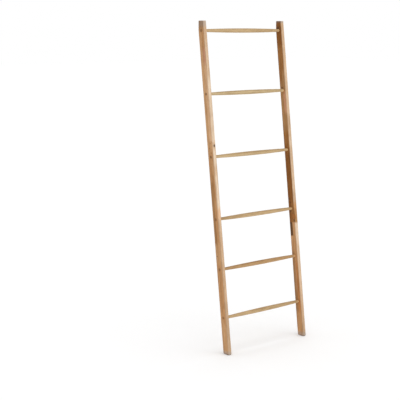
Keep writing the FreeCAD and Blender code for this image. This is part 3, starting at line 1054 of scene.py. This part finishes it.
class LADDER_OT_rungs(bpy.types.Operator):
    """Make the rungs, each turned from its own board"""

    bl_idname = "towel_ladder.rungs"
    bl_label = "Make Rungs"

    def execute(self, context):
        sizes = context.scene.ladder_sizes
        wood = rung_wood(context.scene.ladder_finish)
        tree = turned_rung_tree()
        span = 2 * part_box("right_rail")[0].x
        screw_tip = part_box("right_screws")[0].x
        for number, board in zip(RUNGS, BOARDS):
            mesh = grow(
                "turning",
                bpy.data.meshes.new("turning"),
                tree,
                length=sizes.rung_length,
                span=span,
                middle_diameter=sizes.rung_middle,
                end_diameter=sizes.rung_end,
                pilot_diameter=sizes.thread_width + 2 * sizes.glue_gap,
                pilot_depth=sizes.rung_length / 2 - screw_tip + sizes.glue_gap,
                board=board,
                place=middle(f"rung_{number}"),
                wood=wood,
            )
            finish_piece(f"rung_{number}_turned", mesh, wood, [f"rung_{number}"])
        return {"FINISHED"}


# Plugs and screws


def row_tree():
    """A pattern set at every point of a row, facing one way and turned at random about its axis."""
    inputs = {"Seats": "Geometry", "Pattern": "Object", "Heading": "Float", "Turn": "Float", "Seed": "Int"}
    tree, given = new_tree("Row at the rungs", inputs | {"Finish": "Material"}, "Row")
    pattern = add_node(tree, "GeometryNodeObjectInfo", {"Object": given["Pattern"]}).outputs["Geometry"]
    facing = join(random_number(given["Turn"], given["Seed"]), z=given["Heading"])
    set_out = {"Points": given["Seats"], "Instance": pattern, "Rotation": facing}
    row = geometry(tree, "InstanceOnPoints", set_out)
    own = random_number(1.0, plus(given["Seed"], 1.0))
    row = store_mark(row, "variation", own, "INSTANCE")
    close_tree(tree, row, given["Finish"])
    return tree


def seats(side, outer):
    """Points at the rungs, where the outer end of a plug or screw lies."""
    points = [(SIDES[side] * outer, *middle(f"rung_{number}").yz) for number in RUNGS]
    mesh = bpy.data.meshes.new("seats")
    mesh.from_pydata(points, [], [])
    return mesh


def make_rows(pattern, outer, material, name, nodes):
    """Set a pattern at every rung of both rails. It reaches inwards from its outer end, along -X."""
    tree = row_tree()
    shape = add_object("pattern", pattern)
    for seed, (side, outward) in enumerate(SIDES.items()):
        mesh = grow(
            "row",
            seats(side, outer),
            tree,
            pattern=shape,
            heading=0.0 if outward > 0 else math.pi,
            turn=math.tau,
            seed=seed,
            finish=material,
        )
        finish_piece(f"{side}_{name}", mesh, material, nodes(side))
    bpy.data.objects.remove(shape)


def plug_pattern(sizes):
    """A plug along -X with a crowned face, an eased rim and an eased inner end."""
    segments = 40
    crown_steps = 6
    crown_share = 0.94
    ease = 0.0004
    radius = sizes.plug_width / 2
    profile = []
    for step in range(crown_steps + 1):
        share = step / crown_steps
        profile.append((-sizes.plug_crown * share**2, radius * crown_share * share))
    profile += [
        (-sizes.plug_crown - ease, radius),
        (-sizes.plug_length + ease, radius),
        (-sizes.plug_length, radius - ease),
        (-sizes.plug_length, 0),
    ]
    return as_mesh(lathe(profile, segments), "plug")


class LADDER_OT_plugs(bpy.types.Operator):
    """Make the wooden plugs that hide the screws, crowned and level with the rails"""

    bl_idname = "towel_ladder.plugs"
    bl_label = "Make Plugs"

    def execute(self, context):
        make_rows(
            plug_pattern(context.scene.ladder_sizes),
            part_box("right_plug_1")[1].x,
            plug_wood(context.scene.ladder_finish),
            "plugs",
            lambda side: [f"{side}_plug_{number}" for number in RUNGS],
        )
        return {"FINISHED"}


def shank_radius(along, angle, sizes, length):
    """Radius of a screw's shank: a plain neck, then a thread that grows out of it, and a point."""
    neck_share = 0.30
    neck_swell = 0.35
    ridge_slope = 3.2
    core = sizes.core_width / 2
    rise = sizes.thread_width / 2 - core
    thread_start = -sizes.head_height - (length - sizes.head_height) * neck_share
    phase = (along / sizes.thread_pitch + angle / math.tau) % 1.0
    ridge = max(0.0, 1.0 - abs(phase - 0.5) * ridge_slope)
    grown = min(1.0, max(0.0, (thread_start - along) / sizes.thread_pitch))
    taper = min(1.0, (along + length) / sizes.tip_length)
    return (core + rise * (neck_swell * (1 - grown) + ridge * grown)) * taper


def screw_pattern(sizes, length):
    """A wood screw along -X: a head with a square recess, a plain neck, a cut thread and a point."""
    segments = 16
    steps_to_turn = 8
    ease = 0.0003
    hair = 1e-6
    head = sizes.head_width / 2
    core = sizes.core_width / 2
    neck = -sizes.head_height
    shank = length - sizes.head_height
    rows = round(shank / sizes.thread_pitch * steps_to_turn)
    profile = [(0, 0), (0, head - ease), (-ease, head), (neck + ease, head), (neck, head - ease)]
    profile += [(neck - shank * row / rows, core) for row in range(rows)]
    profile += [(-length, 0)]
    shape = lathe(profile, segments)
    for vertex in shape.verts:
        if abs(vertex.co.yz.length - core) > hair:
            continue
        angle = math.atan2(vertex.co.z, vertex.co.y)
        radius = shank_radius(vertex.co.x, angle, sizes, length)
        vertex.co.y = radius * math.cos(angle)
        vertex.co.z = radius * math.sin(angle)
    screw = as_mesh(shape, "screw")
    drive = (2 * sizes.drive_depth, sizes.drive_width, sizes.drive_width)
    recess = bmesh.new()
    bmesh.ops.create_cube(recess, size=1.0)
    bmesh.ops.scale(recess, verts=recess.verts, vec=drive)
    return carve(screw, as_mesh(recess, "recess"))


class LADDER_OT_screws(bpy.types.Operator):
    """Make the wood screws under the plugs, with cut threads and square recesses"""

    bl_idname = "towel_ladder.screws"
    bl_label = "Make Screws"

    def execute(self, context):
        low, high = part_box("right_screws")
        make_rows(
            screw_pattern(context.scene.ladder_sizes, high.x - low.x),
            high.x,
            screw_steel(context.scene.ladder_finish),
            "wood_screws",
            lambda side: [f"{side}_screws"],
        )
        return {"FINISHED"}


# Pads


def pad_mesh(width, length, thickness, sizes):
    """A rubber pad with cross grooves underneath and eased edges, round the middle of its upper face."""
    grooves = 5
    slope = 0.25
    sharp_angle = math.radians(60)
    edge_steps = 3
    rib = length / (2 * grooves + 1)
    front = -length / 2
    groove_top = sizes.groove_depth - thickness
    outline = [(-front, 0.0), (front, 0.0), (front, -thickness)]
    for groove in range(grooves):
        start = front + rib * (2 * groove + 1)
        outline += [(start, -thickness), (start + rib * slope, groove_top)]
        outline += [(start + rib * (1 - slope), groove_top), (start + rib, -thickness)]
    outline += [(-front, -thickness)]
    shape = bmesh.new()
    face = shape.faces.new([shape.verts.new((-width / 2, y, z)) for y, z in outline])
    pushed = bmesh.ops.extrude_face_region(shape, geom=[face])["geom"]
    moved = [part for part in pushed if isinstance(part, bmesh.types.BMVert)]
    bmesh.ops.translate(shape, verts=moved, vec=(width, 0.0, 0.0))
    bmesh.ops.recalc_face_normals(shape, faces=shape.faces)
    sharp = [edge for edge in shape.edges if edge.calc_face_angle() > sharp_angle]
    eased = {"offset": sizes.pad_edge, "segments": edge_steps, "profile": 0.5, "affect": "EDGES"}
    bmesh.ops.bevel(shape, geom=sharp, **eased)
    return as_mesh(shape, "pad")


class LADDER_OT_pads(bpy.types.Operator):
    """Make the rubber pads under the rails and behind their tops"""

    bl_idname = "towel_ladder.pads"
    bl_label = "Make Rubber Pads"

    def execute(self, context):
        sizes = context.scene.ladder_sizes
        rubber = pad_rubber(context.scene.ladder_finish)
        for side in SIDES:
            node = f"{side}_foot_pad"
            sole = extent(node)
            mesh = pad_mesh(sole.x, sole.y, sole.z, sizes)
            mesh.transform(Matrix.Translation((*middle(node).xy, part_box(node)[1].z)))
            finish_piece(f"{side}_foot_sole", mesh, rubber, [node])

            node = f"{side}_wall_pad"
            buffer = extent(node)
            mesh = pad_mesh(buffer.x, buffer.z, buffer.y, sizes)
            seat = Vector((middle(node).x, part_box(node)[0].y, middle(node).z))
            mesh.transform(Matrix.Translation(seat) @ Matrix.Rotation(math.radians(90), 4, "X"))
            finish_piece(f"{side}_wall_buffer", mesh, rubber, [node])
        return {"FINISHED"}


# Stage


def floor_paint(stage):
    """Plain pale floor."""
    looks = {"Base_Color": (*stage.floor, 1.0), "Roughness": 1.0, "Specular_IOR_Level": 0.0}
    return new_surface("floor_paint", **looks)[0]


def light_sky(scene, stage):
    """Even light from all round, which is plain white where the camera and mirrors look past the floor."""
    world = bpy.data.worlds.new("sky")
    scene.world = world
    world.use_nodes = True
    tree = world.node_tree
    path = tree.nodes.new("ShaderNodeLightPath").outputs
    seen = maths("MAXIMUM", path["Is Camera Ray"], path["Is Glossy Ray"])
    seen = maths("MAXIMUM", seen, path["Is Transmission Ray"])
    light = {"Value": seen, "To Min": stage.sky_strength, "To Max": 1.0}
    strength = add_node(tree, "ShaderNodeMapRange", light).outputs[0]
    sky = tree.nodes["Background"]
    sky.inputs["Color"].default_value = (1.0, 1.0, 1.0, 1.0)
    tree.links.new(strength, sky.inputs["Strength"])


def add_lamp(scene, name, strength, spread, turn):
    """A far lamp that looks as large as its spread, turned from straight down."""
    lamp = bpy.data.lights.new(name, "SUN")
    lamp.energy = strength
    lamp.angle = spread
    holder = bpy.data.objects.new(name, lamp)
    holder.rotation_euler = turn
    scene.collection.objects.link(holder)


class LADDER_OT_stage(bpy.types.Operator):
    """Set the floor, the light and the camera"""

    bl_idname = "towel_ladder.stage"
    bl_label = "Set Stage"

    def execute(self, context):
        scene = context.scene
        stage = scene.ladder_stage
        shape = bmesh.new()
        bmesh.ops.create_grid(shape, x_segments=1, y_segments=1, size=stage.floor_size / 2)
        floor = add_object("floor", as_mesh(shape, "floor"))
        floor.data.materials.append(floor_paint(stage))

        light_sky(scene, stage)
        add_lamp(scene, "top_lamp", stage.top_strength, stage.top_spread, stage.top_turn)
        add_lamp(scene, "front_lamp", stage.front_strength, stage.front_spread, stage.front_turn)

        view = bpy.data.cameras.new("camera")
        view.lens = stage.lens
        view.clip_end = stage.floor_size
        camera = bpy.data.objects.new("camera", view)
        camera.location = stage.camera_place
        camera.rotation_euler = (math.radians(90) - stage.camera_dip, 0.0, -stage.camera_heading)
        scene.collection.objects.link(camera)
        scene.camera = camera
        scene.view_settings.view_transform = "Standard"
        return {"FINISHED"}


class LADDER_PT_pieces(bpy.types.Panel):
    """Lists what the ladder is made of"""

    bl_idname = "LADDER_PT_pieces"
    bl_label = "Towel Ladder"
    bl_space_type = "VIEW_3D"
    bl_region_type = "UI"
    bl_category = "Towel Ladder"

    def draw(self, context):
        for operator in OPERATORS:
            self.layout.operator(operator.bl_idname)
        for group in GROUPS:
            settings = getattr(context.scene, group)
            box = self.layout.box()
            for name in settings.bl_rna.properties.keys():
                if name not in {"rna_type", "name"}:
                    box.prop(settings, name)


OPERATORS = (
    LADDER_OT_rails,
    LADDER_OT_rungs,
    LADDER_OT_plugs,
    LADDER_OT_screws,
    LADDER_OT_pads,
    LADDER_OT_stage,
)
GROUPS = {"ladder_sizes": LadderSizes, "ladder_finish": LadderFinish, "ladder_stage": LadderStage}


def register():
    """Add the classes and their settings."""
    for cls in (*GROUPS.values(), *OPERATORS, LADDER_PT_pieces):
        bpy.utils.register_class(cls)
    for name, group in GROUPS.items():
        setattr(bpy.types.Scene, name, PointerProperty(type=group))


def unregister():
    """Take the settings and the classes away again."""
    for name in GROUPS:
        delattr(bpy.types.Scene, name)
    for cls in (LADDER_PT_pieces, *reversed(OPERATORS), *GROUPS.values()):
        bpy.utils.unregister_class(cls)


def main():
    """Make every piece and set the stage."""
    register()
    bpy.ops.towel_ladder.rails()
    bpy.ops.towel_ladder.rungs()
    bpy.ops.towel_ladder.plugs()
    bpy.ops.towel_ladder.screws()
    bpy.ops.towel_ladder.pads()
    bpy.ops.towel_ladder.stage()


if __name__ == "__main__":
    main()
